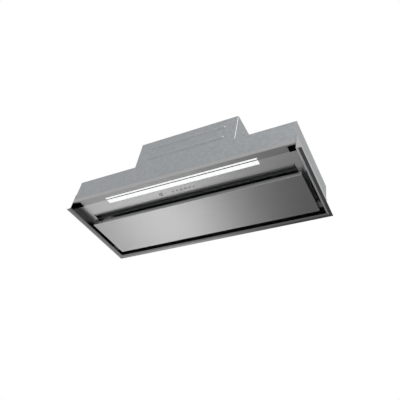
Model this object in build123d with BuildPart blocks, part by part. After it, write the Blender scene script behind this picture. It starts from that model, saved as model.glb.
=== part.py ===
from build123d import *
import os
from math import atan2, cos, tan

# Range hood insert for a 900 mm wall cabinet, in millimetres.
# X runs to the right, Y to the wall and Z up. The origin is the centre of the
# visible underside, in the plane of the lip that closes the cabinet from below.

# Frame and front rail
frame_width = 898.0  # outside the two side lips
frame_depth = 330.0  # front edge to rear edge
lip_width = 18.0  # visible lip at the sides and the rear
lip_flat = 11.0  # flat outer part of the lip, the rest slopes
lip_rise = 2.2  # climb of the sloping part
frame_sheet = 1.2  # stainless sheet of frame and rail
wall_height = 67.0  # frame walls above the lip's underside
rail_height = 41.0  # outer face of the front rail
rail_hem = 4.0  # folded lower edge of the rail, front to back
rail_play = 0.3  # rail and control sheet, short of the frame walls
rail_strip_end = 26.9  # rear edge of the rail's recessed strip, from the front
end_notch_length = 30.0  # open notch at each end of the strip
end_notch_depth = 2.7  # bite of the notch into the control sheet
end_notch_setback = 2.0  # rail strip kept between hem and notch
fixing_hole_diameter = 4.5
fixing_hole_pitch = 100.0
fixing_hole_setback = 90.0  # rear hole, from the frame's rear edge
fixing_hole_z = 39.0

# Control sheet and its light
sheet_recess = 25.5  # control sheet above the lip's underside
control_sheet_steel = 1.0
sheet_joint = 0.4  # gap between rail strip and control sheet
flat_end = 78.0  # where the sheet starts to roll, from the front
roll_radius = 30.0  # centre line of the roll
roll_top = 58.0  # top of the rolled sheet's upright
roll_setback = 35.0  # end of the roll, from the frame's inner wall
tab_setback = 32.5  # inner side of a magnet's keeper tab, from the frame's inner wall
tab_length = 44.0
light_setback = 153.5  # end of the light, from the frame's outer edge
light_narrow_start = 17.5  # narrow band, from the front edge of the frame
light_narrow_width = 7.2
light_wide_width = 18.0
lens_plate = 2.0  # lens thickness above the sheets
lens_lap = 2.0  # lens beyond its slots
lens_play = 0.5  # between lens and channel
channel_height = 14.0
channel_wall = 1.5
fin_height = 4.0
fin_count = 6
end_cap_thickness = 2.0
light_board_width = 18.0
led_count = 24
led_size = (5.0, 5.0, 0.9)

# Controls
button_count = 6
button_pitch = 16.8
first_button = -40.4  # from the middle of the hood
button_row = 66.0  # from the front edge
button_diameter = 7.0
button_travel = 0.8
main_button_centre = -89.0
main_button_diameter = 16.0
button_proud = 0.8  # below the sheet's visible face
button_rim = 1.5  # retaining rim, beyond the cap
button_rim_thickness = 1.2
button_height = 4.2  # above the sheet
button_play = 0.12  # radial play in the sheet
button_edge = 0.35  # broken visible edge
housing_wall = 1.6
housing_height = 14.0
housing_depth = 23.4
housing_margin = 18.2  # housing end beyond the outer control's centre
housing_corner = 1.2
housing_edge = 1.0
board_thickness = 1.6
dome_diameter = 4.0  # switch domes on the control board
dome_height = 2.0
dome_play = 0.1  # between a pressed button and its dome

# Suction panel
panel_side_gap = 17.7  # air gap to the frame's inner wall
panel_rear_gap = 21.5
panel_front = 107.5  # front edge of the panel, from the frame's front edge
panel_rim = 10.0
panel_steel = 1.0
panel_edge = 1.0  # outer bend of the skin's lower edge
liner_height = 13.3  # top of the liner above the panel's face
liner_edge = 0.8
liner_lip_setback = 50.3  # end of the liner's visible lip, from the panel's end
liner_lip_height = 1.5
panel_corner = 3.0
magnet_gap = 0.3  # magnet to keeper tab
magnet_size = (12.0, 10.0)
magnet_setback = 2.0  # magnet in front of the tab's end
magnet_inset = 1.0  # magnet inside the liner's end
pivot_from_rear = 22.0  # hinge axis, in front of the panel's rear edge
pivot_height = 19.5  # above the lip's underside
hinge_pin_diameter = 6.0
hinge_play = 0.08
hinge_strap = 1.2
hinge_length = 28.0
hinge_shelf_height = 8.2
hinge_shelf_play = 1.8  # bracket shelf short of the panel
bracket_rise = 8.0  # bracket above the hinge axis
bracket_corner = 5.0
ear_radius = 7.0
ear_foot = (16.0, 24.0)
ear_play = 0.6  # ear inside the liner's edge
pin_tail = 5.0  # pin beyond the ear
pin_collar = (9.0, 2.0)  # diameter and length of the pin's collar
pin_edge = 0.8

# Grease filters and the ledges that carry them
filter_count = 3
filter_gap = 1.0
filter_thickness = 9.0
filter_underside = 55.0  # above the lip's underside
filter_front_bar = 26.0
filter_bar = 12.0
filter_skin = 1.0  # sheet of the filter frame
filter_corner = 3.0
filter_side_play = 3.0  # outer filters to the canopy walls
mesh_grip = 6.0  # mesh inside the frame's channel
mesh_room = 2.0  # channel beyond the mesh
mesh_wire = 0.6
mesh_waves = 10
ledge_steel = 1.2
ledge_width = 11.5
rear_rail_rise = 10.0  # upright of the rear rail
rear_rail_bend = 1.5
latch_travel = 7.0
latch_play = 0.3
handle_size = (48.0, 13.0, 2.6)
handle_corner = 4.0
handle_rim = (6.0, 2.5)
handle_recess = 1.4
bolt_size = (25.4, 16.0, 2.4)
bolt_reach = 6.5  # bolt nose in front of the filter
bolt_bevel = 1.2
neck_size = (15.0, 4.0)

# Canopy shell, motor box and outlet
shell_steel = 0.8
shell_play = 0.2
shell_top = 130.0
shell_bend = 2.5
shell_overlap = 16.0  # shell walls inside the frame walls
shell_front_lift = 4.0  # front wall's lower edge above the rail strip
bulkhead_lift = 1.2  # bulkhead's lower edge above the control sheet
box_width = 410.0
box_front_setback = 19.0  # motor box behind the frame's front edge
box_rear_setback = 31.0
box_flange = 10.0
box_corner = 3.0
box_edge = 2.5
opening_margin = 16.0  # canopy opening inside the motor box
opening_front_margin = 2.0  # canopy opening behind the bulkhead
opening_rear_margin = 4.0
duct_diameter = 150.0
collar_wall = 2.2
collar_height = 40.0
collar_base = 2.5
collar_margin = 12.0
collar_corner = 8.0
collar_edge = 1.0
seat_width = 3.8
seat_thickness = 2.0
seat_height = 15.0  # flap seat above the motor box
flap_thickness = 1.2
flap_play = 1.8
flap_shoulder = 12.0  # flap's rim beyond the end of its knuckle
flap_pin_play = 0.08
flap_pin_setback = 0.3  # pin ends inside the spigot's surface
flap_pin_spacing = 8.0
flap_pin_diameter = 3.0
flap_knuckle = 6.0

# Double-inlet blower
wheel_width = 148.0
wheel_gap = 12.0  # wheel inside the first arc of the volute
blade_depth = 11.0
blade_thickness = 0.9
blade_camber = 2.1
blade_lead = 7.0  # outer blade edge ahead of the inner one
blade_count = 30
wheel_ring = 2.0  # thickness of end rings and centre disc
wheel_edge = 1.0  # blades inside the rings' outer edge
hub_diameter = 24.0
hub_length = (10.0, 14.0)  # on either side of the centre disc
shaft_diameter = 8.0
shaft_tail = 2.0  # shaft beyond the hub
shaft_inside = 45.6  # shaft inside the motor
shaft_play = 0.08
volute_step = 11.0  # growth of the volute from arc to arc
volute_wall = 2.0
volute_rear_gap = 4.0  # scroll to motor box
volute_overhang = 11.5  # widest part of the scroll, in front of the bulkhead
volute_lift = 15.0  # scroll above the grease filters
tongue_offset = 40.0  # tongue in front of the volute's first centre
outlet_neck = 32.9  # straight walls above the tongue
wheel_side_play = 6.0  # wheel to side plate
inlet_inset = 8.0  # inlet inside the wheel's outer radius
inlet_ring = 4.0  # depth of the turned-in inlet ring
motor_gap = 16.0  # motor inside the blades
motor_length = 76.0
motor_overlap = 12.0  # motor inside the wheel's open side
bell_step = 4.0  # end bells inside the stator's radius
bell_length = 20.0
bell_round = 6.0
clamp_setback = 26.0  # clamp ring from the motor's outer end
clamp_width = 12.0
clamp_steel = 3.0
arm_width = 14.0
arm_count = 3
leg_steel = 4.0
leg_clear = 8.0  # legs outside the inlet
bush_length = 6.0
bush_diameter = 12.0

# Electrical parts on the canopy
terminal_box = (130.0, 110.0, 35.0)
terminal_y = 5.0
terminal_wall = 2.5
terminal_corner = 5.0
lid_thickness = 3.0
lid_edge = 1.0
boss_diameter = 10.0
gland_bore = 8.0
gland_thread = 14.0
gland_hexagon = (10.5, 5.0)  # corner radius and thickness
gland_nut = 17.0
gland_round = 3.0
gland_length = 20.0
power_board_size = (98.0, 76.0)
transformer = (32.0, 30.0, 20.0)
relay = (26.0, 12.0, 10.0)
part_inset = 6.0  # transformer and relay inside the power board's edge
capacitor_diameter = 35.0
capacitor_length = 68.0
capacitor_edge = 2.0
capacitor_y = 0.0
capacitor_tag = (8.0, 6.0, 0.8)
tag_pitch = 12.0
clip_steel = 1.0
clip_width = 20.0
clip_foot = 13.0

# Fasteners
rivet_diameter = 3.2
rivet_head = 6.0
rivet_head_height = 1.0
rivet_front_setback = 65.0  # first side rivet behind the frame's front edge
rivet_rear_setback = 45.0
rivet_end_setback = 99.0  # first rear rivet from the frame's end
rear_rivets = 4
screw_diameter = 4.0
screw_length = 8.0
screw_head = 8.0
screw_head_height = 2.4
screw_play = 0.3
box_screw_setback = 55.0  # outer flange screws from the motor box's end
collar_screw_inset = 7.0

# General clearances
fit = 0.2  # parts that slip together
over = 1.0  # cuts run this far past a face
overlap = 0.01  # pieces of one solid run this far into each other

# Places worked out from the sizes above
half_width = frame_width / 2
front = -frame_depth / 2
rear = frame_depth / 2
lip_underside = 0.0
seat_z = lip_underside + frame_sheet
inner_x = half_width - lip_width
inner_y = rear - lip_width
strip_z = lip_underside + sheet_recess
strip_top = strip_z + frame_sheet
strip_rear = front + rail_strip_end
sheet_front = strip_rear + sheet_joint
sheet_top = strip_z + control_sheet_steel
roll_start = front + flat_end
upright_y = roll_start + roll_radius
rail_half = inner_x - rail_play
notch_inner = inner_x - end_notch_length
notch_rear = sheet_front + end_notch_depth
bulkhead_y = upright_y + control_sheet_steel / 2 + shell_play
shell_x = inner_x - shell_play
shell_front = front + frame_sheet + shell_play
shell_rear = inner_y - shell_play
shell_inner_x = shell_x - shell_steel
shell_low = wall_height - shell_overlap
rivet_z = shell_low + shell_overlap / 2
rivet_y0 = front + rivet_front_setback
rivet_y1 = rear - rivet_rear_setback
rivet_side_y = (rivet_y0, (rivet_y0 + rivet_y1) / 2, rivet_y1)
rivet_span = half_width - rivet_end_setback
rivet_rear_x = [rivet_span * (2 * i / (rear_rivets - 1) - 1) for i in range(rear_rivets)]
fixing_hole_y = (rear - fixing_hole_setback - fixing_hole_pitch, rear - fixing_hole_setback)
screw_radius = screw_diameter / 2
box_half = box_width / 2
box_front = front + box_front_setback
box_rear = rear - box_rear_setback
box_screw_x = (box_screw_setback - box_half, 0, box_half - box_screw_setback)


def block(x0, x1, y0, y1, z0, z1, mode=Mode.ADD):
    """Adds or cuts a rectangular block between the given faces."""
    with Locations(((x0 + x1) / 2, (y0 + y1) / 2, (z0 + z1) / 2)):
        Box(x1 - x0, y1 - y0, z1 - z0, mode=mode)


def folded_sheet(points, bend, thickness, x0, x1):
    """Adds a strip of sheet folded along a path of (Y, Z) points, from x0 to x1."""
    with BuildSketch(Plane.YZ.offset(x0)) as section:
        with BuildLine():
            FilletPolyline(*points, radius=bend)
        trace(line_width=thickness)
    extrude(section.sketch, amount=x1 - x0)


def peg(centre, direction, radius, length, mode=Mode.ADD):
    """Adds or cuts a cylinder that starts at centre and runs along direction."""
    with BuildSketch(Plane(origin=centre, z_dir=direction)) as disc:
        Circle(radius)
    extrude(disc.sketch, amount=length, mode=mode)


def save(piece, name):
    """Labels a finished piece and writes its STEP file."""
    piece.part.label = name
    export_step(piece.part, "parts/" + name + ".step")


os.makedirs("parts", exist_ok=True)

# Bezel frame: a lip that turns up into a wall round both sides and the rear
with BuildPart() as bezel_frame:
    with BuildLine() as frame_path:
        Polyline(
            (-inner_x, front, lip_underside),
            (-inner_x, inner_y, lip_underside),
            (inner_x, inner_y, lip_underside),
            (inner_x, front, lip_underside),
        )
    slope = lip_width - lip_flat
    tilt = atan2(lip_rise, slope)
    fold_x = slope + frame_sheet * tan(tilt / 2)
    fold_z = lip_rise * (1 - frame_sheet / slope) + frame_sheet / cos(tilt)
    section_plane = Plane(origin=(-inner_x, front, lip_underside), x_dir=(-1, 0, 0), z_dir=(0, 1, 0))
    with BuildSketch(section_plane):
        with BuildLine():
            Polyline(
                (0, wall_height),
                (0, lip_rise),
                (slope, 0),
                (lip_width, 0),
                (lip_width, frame_sheet),
                (fold_x, frame_sheet),
                (frame_sheet, fold_z),
                (frame_sheet, wall_height),
                close=True,
            )
        make_face()
    sweep(path=frame_path.wire(), transition=Transition.RIGHT)
    for y in fixing_hole_y:
        start = (-half_width, y, fixing_hole_z)
        peg(start, (1, 0, 0), fixing_hole_diameter / 2, frame_width, Mode.SUBTRACT)
    for y in rivet_side_y:
        peg((-half_width, y, rivet_z), (1, 0, 0), rivet_diameter / 2, frame_width, Mode.SUBTRACT)
    for x in rivet_rear_x:
        peg((x, 0, rivet_z), (0, 1, 0), rivet_diameter / 2, frame_depth, Mode.SUBTRACT)
save(bezel_frame, "bezel_frame")

# Front rail: upright face, folded lower edge and the recessed strip behind it
narrow_front = front + light_narrow_start
narrow_rear = narrow_front + light_narrow_width
light_half = half_width - light_setback
with BuildPart() as front_rail:
    folded_sheet(
        [
            (front + frame_sheet / 2, rail_height),
            (front + frame_sheet / 2, lip_underside + frame_sheet / 2),
            (front + rail_hem - frame_sheet / 2, lip_underside + frame_sheet / 2),
            (front + rail_hem - frame_sheet / 2, strip_z + frame_sheet / 2),
            (strip_rear, strip_z + frame_sheet / 2),
        ],
        0.48 * (rail_hem - frame_sheet),
        frame_sheet,
        -rail_half,
        rail_half,
    )
    cut_z = (strip_z - over, strip_top + over)
    block(-light_half, light_half, narrow_front, narrow_rear, *cut_z, Mode.SUBTRACT)
    notch_front = front + rail_hem + end_notch_setback
    for side in (-1, 1):
        notch = sorted((side * notch_inner, side * half_width))
        block(*notch, notch_front, strip_rear + over, *cut_z, Mode.SUBTRACT)
save(front_rail, "front_rail")

# Control sheet: flat under the controls, rolled up into the intake
wide_rear = sheet_front + light_wide_width
button_x = [first_button + i * button_pitch for i in range(button_count)]
button_y = front + button_row
tab_rear = roll_start + tab_length
tab_inner = inner_x - tab_setback
roll_half_length = inner_x - roll_setback
with BuildPart() as control_sheet:
    block(-rail_half, rail_half, sheet_front, roll_start, strip_z, sheet_top)
    for side in (-1, 1):
        tab = sorted((side * tab_inner, side * rail_half))
        block(*tab, roll_start, tab_rear, strip_z, sheet_top)
    folded_sheet(
        [
            (roll_start - overlap, strip_z + control_sheet_steel / 2),
            (upright_y, strip_z + control_sheet_steel / 2),
            (upright_y, roll_top),
        ],
        roll_radius,
        control_sheet_steel,
        -roll_half_length,
        roll_half_length,
    )
    block(-light_half, light_half, sheet_front - over, wide_rear, *cut_z, Mode.SUBTRACT)
    for side in (-1, 1):
        notch = sorted((side * notch_inner, side * half_width))
        block(*notch, sheet_front - over, notch_rear, *cut_z, Mode.SUBTRACT)
    hole_depth = control_sheet_steel + 2 * over
    for x in button_x:
        hole = button_diameter / 2 + button_play
        peg((x, button_y, strip_z - over), (0, 0, 1), hole, hole_depth, Mode.SUBTRACT)
    hole = main_button_diameter / 2 + button_play
    peg((main_button_centre, button_y, strip_z - over), (0, 0, 1), hole, hole_depth, Mode.SUBTRACT)
save(control_sheet, "control_sheet")

# Light lens: one moulding whose wide and narrow bands fill the two slots
lens_top = strip_top + lens_plate
lens_half = light_half + lens_lap
lens_front = narrow_front - lens_lap
lens_rear = wide_rear + lens_lap
with BuildPart() as light_lens:
    block(-lens_half, lens_half, lens_front, lens_rear, strip_top, lens_top)
    band = light_half - fit
    block(-band, band, narrow_front + fit, narrow_rear - fit, strip_z, strip_top)
    block(-band, band, sheet_front, wide_rear - fit, strip_z, strip_top)
save(light_lens, "light_lens")

# Light channel: finned aluminium profile, open at the bottom, over the lens
channel_half = lens_half + lens_play
channel_front = lens_front - lens_play - channel_wall
channel_rear = lens_rear + lens_play + channel_wall
channel_mid = (channel_front + channel_rear) / 2
channel_top = strip_top + channel_height + channel_wall
with BuildPart() as light_channel:
    with BuildSketch(Plane.YZ.offset(-channel_half)) as channel_section:
        with BuildLine():
            Polyline(
                (channel_front, strip_top),
                (channel_front, channel_top),
                (channel_rear, channel_top),
                (channel_rear, strip_top),
                (channel_rear - channel_wall, strip_top),
                (channel_rear - channel_wall, channel_top - channel_wall),
                (channel_front + channel_wall, channel_top - channel_wall),
                (channel_front + channel_wall, strip_top),
                close=True,
            )
        make_face()
        fin_pitch = (channel_rear - channel_front - channel_wall) / (fin_count - 1)
        with Locations((channel_mid, channel_top + fin_height / 2)):
            with GridLocations(fin_pitch, 1, fin_count, 1):
                Rectangle(channel_wall, fin_height)
    extrude(amount=2 * channel_half)
save(light_channel, "light_channel")

# End caps of the light channel, pressed against its two ends
with BuildPart() as light_end_caps:
    for side in (-1, 1):
        cap = sorted((side * channel_half, side * (channel_half + end_cap_thickness)))
        block(*cap, channel_front, channel_rear, strip_top, channel_top)
save(light_end_caps, "light_end_caps")

# Light board: long circuit board under the channel's roof, with its light chips
board_z = channel_top - channel_wall
board_front = channel_mid - light_board_width / 2
board_rear = channel_mid + light_board_width / 2
with BuildPart() as light_board:
    block(-light_half, light_half, board_front, board_rear, board_z - board_thickness, board_z)
    with Locations((0, channel_mid, board_z - board_thickness - led_size[2] / 2)):
        with GridLocations(2 * light_half / led_count, 1, led_count, 1):
            Box(*led_size)
save(light_board, "light_board")

# Control housing: moulded cover over the buttons, open towards the sheet
housing_x0 = main_button_centre - housing_margin
housing_x1 = button_x[-1] + housing_margin
housing_y0 = button_y - housing_depth / 2
housing_y1 = button_y + housing_depth / 2
housing_top = sheet_top + housing_height
with BuildPart() as control_housing:
    block(housing_x0, housing_x1, housing_y0, housing_y1, sheet_top, housing_top)
    fillet(control_housing.edges().filter_by(Axis.Z), radius=housing_corner)
    fillet(control_housing.edges().group_by(Axis.Z)[-1], radius=housing_edge)
    block(
        housing_x0 + housing_wall,
        housing_x1 - housing_wall,
        housing_y0 + housing_wall,
        housing_y1 - housing_wall,
        sheet_top,
        housing_top - housing_wall,
        Mode.SUBTRACT,
    )
save(control_housing, "control_housing")

# Control board with one switch dome over each button
button_top = sheet_top + button_height
dome_z = button_top + button_travel + dome_play
control_board_z = dome_z + dome_height
with BuildPart() as control_board:
    block(
        housing_x0 + housing_wall + fit,
        housing_x1 - housing_wall - fit,
        housing_y0 + housing_wall + fit,
        housing_y1 - housing_wall - fit,
        control_board_z,
        control_board_z + board_thickness,
    )
    for x in [main_button_centre] + button_x:
        peg((x, button_y, dome_z), (0, 0, 1), dome_diameter / 2, dome_height)
save(control_board, "control_board")


def make_button(x, diameter, name):
    """Makes a round button whose rim rests on top of the sheet."""
    face_z = strip_z - button_proud
    with BuildPart() as button:
        peg((x, button_y, face_z), (0, 0, 1), diameter / 2, button_top - face_z)
        chamfer(button.edges().sort_by(Axis.Z)[0], length=button_edge)
        peg((x, button_y, sheet_top), (0, 0, 1), diameter / 2 + button_rim, button_rim_thickness)
    save(button, name)


make_button(main_button_centre, main_button_diameter, "main_button")
button_names = (
    "light_button",
    "speed_one_button",
    "speed_two_button",
    "speed_three_button",
    "boost_button",
    "timer_button",
)
for x, name in zip(button_x, button_names):
    make_button(x, button_diameter, name)

# Canopy shell: open box inside the frame walls, with the opening for the blower
opening_x = box_half - opening_margin
opening_y0 = bulkhead_y + shell_steel + opening_front_margin
opening_y1 = box_rear - opening_rear_margin
box_screws = [
    (x, y, shell_top + shell_steel)
    for y in (box_front - box_flange / 2, box_rear + box_flange / 2)
    for x in box_screw_x
]
with BuildPart() as canopy_shell:
    shell_front_low = strip_top + shell_front_lift
    block(-shell_x, shell_x, shell_front, shell_rear, shell_front_low, shell_top)
    fillet(canopy_shell.edges().group_by(Axis.Z)[-1], radius=shell_bend)
    block(
        -shell_inner_x,
        shell_inner_x,
        shell_front + shell_steel,
        shell_rear - shell_steel,
        shell_front_low,
        shell_top - shell_steel,
        Mode.SUBTRACT,
    )
    block(
        -half_width,
        half_width,
        shell_front + shell_steel,
        rear,
        shell_front_low - over,
        shell_low,
        Mode.SUBTRACT,
    )
    block(
        -opening_x,
        opening_x,
        opening_y0,
        opening_y1,
        shell_top - shell_steel - over,
        shell_top + over,
        Mode.SUBTRACT,
    )
    for place in box_screws:
        peg(place, (0, 0, -1), screw_radius, screw_length, Mode.SUBTRACT)
    for y in rivet_side_y:
        peg((-half_width, y, rivet_z), (1, 0, 0), rivet_diameter / 2, frame_width, Mode.SUBTRACT)
    for x in rivet_rear_x:
        peg((x, 0, rivet_z), (0, 1, 0), rivet_diameter / 2, frame_depth, Mode.SUBTRACT)
save(canopy_shell, "canopy_shell")

# Front bulkhead: wall between controls and filters, with the filters' front ledge
front_ledge_top = filter_underside + filter_skin + fit
with BuildPart() as front_bulkhead:
    bulkhead_half = shell_inner_x - fit
    block(
        -bulkhead_half,
        bulkhead_half,
        bulkhead_y,
        bulkhead_y + shell_steel,
        shell_low - fit,
        shell_top - shell_steel,
    )
    block(
        -rail_half,
        rail_half,
        bulkhead_y,
        bulkhead_y + shell_steel,
        sheet_top + bulkhead_lift,
        shell_low - fit,
    )
    block(
        -bulkhead_half,
        bulkhead_half,
        bulkhead_y + shell_steel,
        bulkhead_y + shell_steel + ledge_width,
        front_ledge_top - ledge_steel,
        front_ledge_top,
    )
save(front_bulkhead, "front_bulkhead")

# Rear rail: angle along the rear wall that carries the filters' rear edge
rail_face = shell_rear - shell_steel - ledge_steel / 2
with BuildPart() as rear_filter_rail:
    folded_sheet(
        [
            (rail_face - ledge_width, filter_underside - ledge_steel / 2),
            (rail_face, filter_underside - ledge_steel / 2),
            (rail_face, filter_underside + rear_rail_rise),
        ],
        rear_rail_bend,
        ledge_steel,
        -bulkhead_half,
        bulkhead_half,
    )
    for x in rivet_rear_x:
        peg((x, 0, rivet_z), (0, 1, 0), rivet_head / 2 + fit, frame_depth, Mode.SUBTRACT)
save(rear_filter_rail, "rear_filter_rail")

# Grease filters: channel frame, corrugated mesh and sliding latch
filter_span = 2 * (bulkhead_half - filter_side_play)
filter_width = (filter_span - (filter_count - 1) * filter_gap) / filter_count
filter_y0 = bulkhead_y + shell_steel + ledge_width
filter_y1 = rail_face - ledge_steel / 2 - rear_rail_bend
filter_top = filter_underside + filter_thickness
inside_low = filter_underside + filter_skin
inside_high = filter_top - filter_skin
handle_top = filter_underside - fit
handle_z = handle_top - handle_size[2]
bolt_z = front_ledge_top + fit
bolt_top = bolt_z + bolt_size[2]
bolt_front = filter_y0 - bolt_reach
bolt_rear = bolt_front + bolt_size[1]
neck_y = bolt_front + bolt_size[1] / 2
neck_rear = neck_y + neck_size[1]
handle_front = neck_y - fit - (handle_size[1] - neck_size[1]) / 4
handle_rear = handle_front + handle_size[1]
handle_y = (handle_front + handle_rear) / 2
for i in range(filter_count):
    x_mid = (i - (filter_count - 1) / 2) * (filter_width + filter_gap)
    x0 = x_mid - filter_width / 2
    x1 = x_mid + filter_width / 2
    mesh_x0 = x0 + filter_bar
    mesh_x1 = x1 - filter_bar
    mesh_y0 = filter_y0 + filter_front_bar
    mesh_y1 = filter_y1 - filter_bar
    channel_reach = mesh_grip + mesh_room
    with BuildPart() as filter_frame:
        block(x0, x1, filter_y0, filter_y1, filter_underside, filter_top)
        fillet(filter_frame.edges().filter_by(Axis.Z), radius=filter_corner)
        cut_z = (filter_underside - over, filter_top + over)
        block(mesh_x0, mesh_x1, mesh_y0, mesh_y1, *cut_z, Mode.SUBTRACT)
        block(
            mesh_x0 - channel_reach,
            mesh_x1 + channel_reach,
            mesh_y0 - channel_reach,
            mesh_y1 + channel_reach,
            inside_low,
            inside_high,
            Mode.SUBTRACT,
        )
        block(
            x_mid - bolt_size[0] / 2 - latch_play,
            x_mid + bolt_size[0] / 2 + latch_play,
            filter_y0 - over,
            bolt_rear + latch_travel + latch_play,
            inside_low,
            bolt_top + latch_play,
            Mode.SUBTRACT,
        )
        block(
            x_mid - neck_size[0] / 2 - latch_play,
            x_mid + neck_size[0] / 2 + latch_play,
            neck_y - latch_play,
            neck_rear + latch_travel + latch_play,
            filter_underside - over,
            inside_low + over,
            Mode.SUBTRACT,
        )
    save(filter_frame, "filter_frame_" + str(i + 1))

    with BuildPart() as filter_mesh:
        wave = (mesh_x1 - mesh_x0 + 2 * mesh_grip) / mesh_waves
        low = inside_low + mesh_wire
        high = inside_high - mesh_wire
        with BuildSketch(Plane.XZ.offset(-mesh_y1 - mesh_grip)):
            with BuildLine():
                crests = []
                for w in range(mesh_waves):
                    crests.append((mesh_x0 - mesh_grip + w * wave, low))
                    crests.append((mesh_x0 - mesh_grip + (w + 0.5) * wave, high))
                crests.append((mesh_x1 + mesh_grip, low))
                Polyline(*crests)
            trace(line_width=mesh_wire)
        extrude(amount=mesh_y1 - mesh_y0 + 2 * mesh_grip)
    save(filter_mesh, "filter_mesh_" + str(i + 1))

    with BuildPart() as filter_latch:
        handle = (x_mid - handle_size[0] / 2, x_mid + handle_size[0] / 2)
        block(*handle, handle_front, handle_rear, handle_z, handle_top)
        fillet(filter_latch.edges().filter_by(Axis.Z), radius=handle_corner)
        block(
            handle[0] + handle_rim[0],
            handle[1] - handle_rim[0],
            handle_front + handle_rim[1],
            handle_rear - handle_rim[1],
            handle_z - over,
            handle_z + handle_recess,
            Mode.SUBTRACT,
        )
        neck = (x_mid - neck_size[0] / 2, x_mid + neck_size[0] / 2)
        block(*neck, neck_y, neck_rear, handle_top - overlap, bolt_z + overlap)
        bolt = (x_mid - bolt_size[0] / 2, x_mid + bolt_size[0] / 2)
        block(*bolt, bolt_front, bolt_rear, bolt_z, bolt_top)
        nose_edges = filter_latch.edges().filter_by(Axis.X).group_by(Axis.Y)[0]
        chamfer(nose_edges.sort_by(Axis.Z)[-1], length=bolt_bevel)
    save(filter_latch, "filter_latch_" + str(i + 1))

# Suction panel skin: large flat face with a rim turned up all round
panel_half = inner_x - panel_side_gap
panel_y0 = front + panel_front
panel_y1 = inner_y - panel_rear_gap
panel_floor = lip_underside + panel_steel
with BuildPart() as panel_skin:
    block(-panel_half, panel_half, panel_y0, panel_y1, lip_underside, lip_underside + panel_rim)
    fillet(panel_skin.edges().filter_by(Axis.Z), radius=panel_corner)
    fillet(panel_skin.faces().sort_by(Axis.Z)[0].edges(), radius=panel_edge)
    block(
        -panel_half + panel_steel,
        panel_half - panel_steel,
        panel_y0 + panel_steel,
        panel_y1 - panel_steel,
        panel_floor,
        lip_underside + panel_rim + over,
        Mode.SUBTRACT,
    )
save(panel_skin, "panel_skin")

# Panel liner: inverted tray nested in the skin, with a lip over its front rim
liner_top = lip_underside + liner_height
liner_half = panel_half - panel_steel - fit
liner_y0 = panel_y0 + panel_steel + fit
liner_y1 = panel_y1 - panel_steel - fit
with BuildPart() as panel_liner:
    block(-liner_half, liner_half, liner_y0, liner_y1, panel_floor, liner_top)
    fillet(panel_liner.edges().group_by(Axis.Z)[-1], radius=liner_edge)
    block(
        -liner_half + panel_steel,
        liner_half - panel_steel,
        liner_y0 + panel_steel,
        liner_y1 - panel_steel,
        panel_floor - over,
        liner_top - panel_steel,
        Mode.SUBTRACT,
    )
    lip_half = panel_half - liner_lip_setback
    lip_rear = liner_y0 + panel_steel
    block(-lip_half, lip_half, panel_y0, lip_rear, liner_top - liner_lip_height, liner_top)
save(panel_liner, "panel_liner")

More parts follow.
